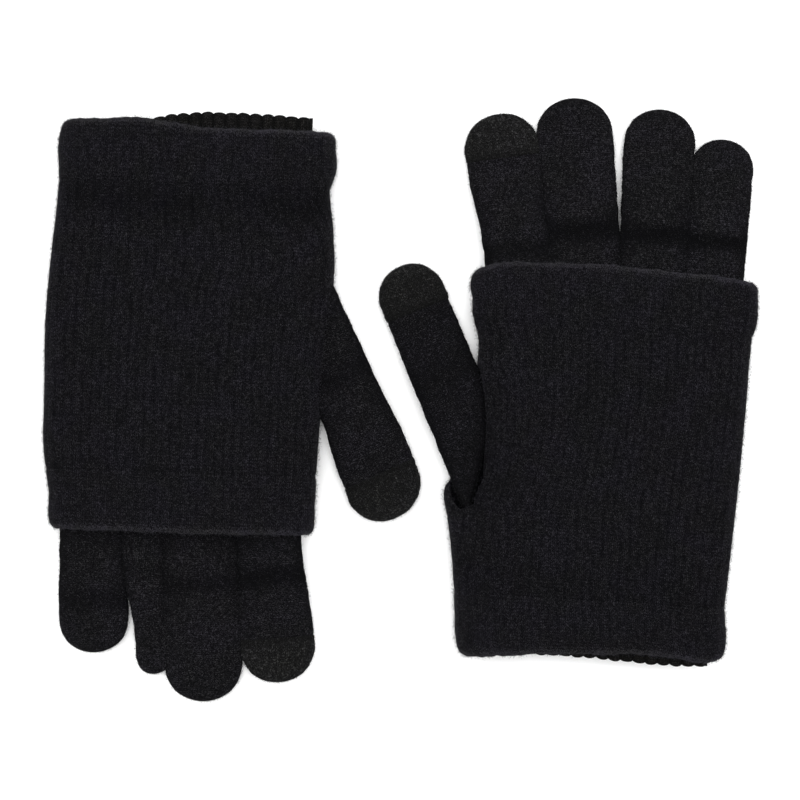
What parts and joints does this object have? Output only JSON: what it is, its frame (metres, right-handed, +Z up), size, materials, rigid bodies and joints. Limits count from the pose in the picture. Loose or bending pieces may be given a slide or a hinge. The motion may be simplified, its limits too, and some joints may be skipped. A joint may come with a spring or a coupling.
{
  "type": "knitted gloves with fingerless oversleeves",
  "caption": "Black knitted gloves: thin full-finger liners with coarse touch-screen tips, each worn inside a thick ribbed fingerless sleeve with folded hems.",
  "frame": {"origin": "on the table under the middle of the pair's bounding box", "axes": "+Z up from the table, +X across both gloves, +Y along the left glove's fingers"},
  "size_m": [0.2658, 0.2248, 0.0131],
  "materials": {
    "liner_knit": "fine plain knit",
    "touch_tip_knit": "coarse knit with conductive yarn",
    "cuff_rib_knit": "ribbed knit",
    "sleeve_rib_knit": "thick brushed rib knit"
  },
  "bodies": {
    "right_hand": {"right_liner_hand": "liner_knit", "right_liner_cuff": "cuff_rib_knit"},
    "right_index": {"right_index_finger": "liner_knit", "right_index_touch_tip": "touch_tip_knit"},
    "right_middle": {"right_middle_finger": "liner_knit"},
    "right_ring": {"right_ring_finger": "liner_knit"},
    "right_little": {"right_little_finger": "liner_knit"},
    "right_thumb": {"right_thumb": "liner_knit", "right_thumb_touch_tip": "touch_tip_knit"},
    "right_sleeve": {"right_sleeve": "sleeve_rib_knit", "right_sleeve_wrist_hem": "sleeve_rib_knit", "right_sleeve_finger_hem": "sleeve_rib_knit"},
    "left_hand": {"left_liner_hand": "liner_knit", "left_liner_cuff": "cuff_rib_knit"},
    "left_index": {"left_index_finger": "liner_knit", "left_index_touch_tip": "touch_tip_knit"},
    "left_middle": {"left_middle_finger": "liner_knit"},
    "left_ring": {"left_ring_finger": "liner_knit"},
    "left_little": {"left_little_finger": "liner_knit"},
    "left_thumb": {"left_thumb": "liner_knit", "left_thumb_touch_tip": "touch_tip_knit"},
    "left_sleeve": {"left_sleeve": "sleeve_rib_knit", "left_sleeve_wrist_hem": "sleeve_rib_knit", "left_sleeve_finger_hem": "sleeve_rib_knit"}
  },
  "joints": [
    {"name": "right_index_bend", "type": "hinge", "parent": "right_hand", "child": "right_index", "pos_m": [-0.05033, -0.05961, 0.00915], "axis": [-0.9995, 0.0314, 0], "range_deg": [0, 80]},
    {"name": "right_middle_bend", "type": "hinge", "parent": "right_hand", "child": "right_middle", "pos_m": [-0.07662, -0.05878, 0.00915], "axis": [-0.9995, 0.0314, 0], "range_deg": [0, 80]},
    {"name": "right_ring_bend", "type": "hinge", "parent": "right_hand", "child": "right_ring", "pos_m": [-0.09761, -0.05813, 0.00915], "axis": [-0.9995, 0.0314, 0], "range_deg": [0, 80]},
    {"name": "right_little_bend", "type": "hinge", "parent": "right_hand", "child": "right_little", "pos_m": [-0.1168, -0.05752, 0.00915], "axis": [-0.9995, 0.0314, 0], "range_deg": [0, 80]},
    {"name": "right_thumb_bend", "type": "hinge", "parent": "right_hand", "child": "right_thumb", "pos_m": [-0.02011, -0.00053, 0.00945], "axis": [-0.9085, -0.4179, 0], "range_deg": [0, 60]},
    {"name": "right_sleeve_slide", "type": "slide", "parent": "right_hand", "child": "right_sleeve", "axis": [-0.0314, -0.9995, 0], "range_m": [0, 0.006]},
    {"name": "left_index_bend", "type": "hinge", "parent": "left_hand", "child": "left_index", "pos_m": [0.04259, 0.0641, 0.00915], "axis": [0.9973, -0.0732, 0], "range_deg": [0, 80]},
    {"name": "left_middle_bend", "type": "hinge", "parent": "left_hand", "child": "left_middle", "pos_m": [0.06807, 0.06223, 0.00915], "axis": [0.9973, -0.0732, 0], "range_deg": [0, 80]},
    {"name": "left_ring_bend", "type": "hinge", "parent": "left_hand", "child": "left_ring", "pos_m": [0.094, 0.06033, 0.00915], "axis": [0.9973, -0.0732, 0], "range_deg": [0, 80]},
    {"name": "left_little_bend", "type": "hinge", "parent": "left_hand", "child": "left_little", "pos_m": [0.11783, 0.05858, 0.00915], "axis": [0.9973, -0.0732, 0], "range_deg": [0, 80]},
    {"name": "left_thumb_bend", "type": "hinge", "parent": "left_hand", "child": "left_thumb", "pos_m": [0.01611, 0.00588, 0.00945], "axis": [0.9252, 0.3795, 0], "range_deg": [0, 60]},
    {"name": "left_sleeve_slide", "type": "slide", "parent": "left_hand", "child": "left_sleeve", "axis": [0.0732, 0.9973, 0], "range_m": [0, 0.006]},
    {"name": "left_glove_lift", "type": "slide", "parent": "right_hand", "child": "left_hand", "axis": [0, 0, 1], "range_m": [0, 0.12]}
  ]
}
